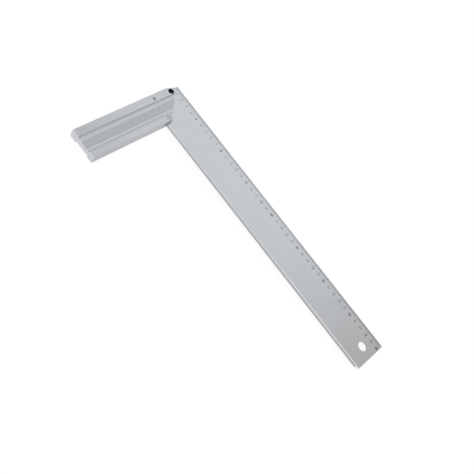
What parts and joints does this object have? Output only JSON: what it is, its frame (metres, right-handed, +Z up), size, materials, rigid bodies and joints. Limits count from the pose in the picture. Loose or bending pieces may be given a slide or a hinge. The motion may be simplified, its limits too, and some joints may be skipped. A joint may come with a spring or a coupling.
{
  "type": "adjustable set square",
  "caption": "Adjustable set square: flat graduated blade pivoted in a slotted, mitred aluminium stock, set true by an eccentric and locked by a screw.",
  "frame": {"origin": "inner working corner, where the stock's working face meets the line of the blade's inner edge, at the level of the underside", "axes": "+X along the blade to its tip, +Y across the blade to its outer, graduated edge, +Z up out of the graduated face"},
  "size_m": [0.404, 0.161, 0.012],
  "materials": {
    "anodised_aluminium": "extruded, fine matt natural anodising",
    "satin_steel": "stainless, satin, dull",
    "turned_steel": "fine turned",
    "spring_steel": "dark, oiled",
    "bush_bronze": "turned bronze",
    "black_oxide_steel": "black oxide, dull",
    "zinc_plated_steel": "bright zinc"
  },
  "bodies": {
    "stock": {"stock": "anodised_aluminium", "pivot_pin": "turned_steel", "pivot_washer": "turned_steel", "eccentric_spring": "spring_steel", "lock_washer": "spring_steel", "lock_nut": "zinc_plated_steel"},
    "blade": {"blade": "satin_steel", "pivot_bush": "bush_bronze"},
    "eccentric": {"adjusting_eccentric": "turned_steel", "eccentric_clip": "spring_steel"},
    "lock_screw": {"lock_screw": "black_oxide_steel"}
  },
  "joints": [
    {"name": "blade_trim", "type": "hinge", "parent": "stock", "child": "blade", "pos_m": [-0.004, 0.0058, 0], "axis": [0, 0, 1], "range_deg": [-1.4, 1.4]},
    {"name": "eccentric_turn", "type": "hinge", "parent": "stock", "child": "eccentric", "pos_m": [-0.0336, 0.0058, 0], "axis": [0, 0, 1], "range_deg": [-45, 45]},
    {"name": "lock_screw_turn", "type": "hinge", "parent": "stock", "child": "lock_screw", "pos_m": [-0.0336, 0.0334, 0], "axis": [0, 0, 1], "range_deg": [0, 180]}
  ],
  "couplings": [
    {"joint": "eccentric_turn", "follows": "blade_trim", "ratio": -32.1}
  ]
}
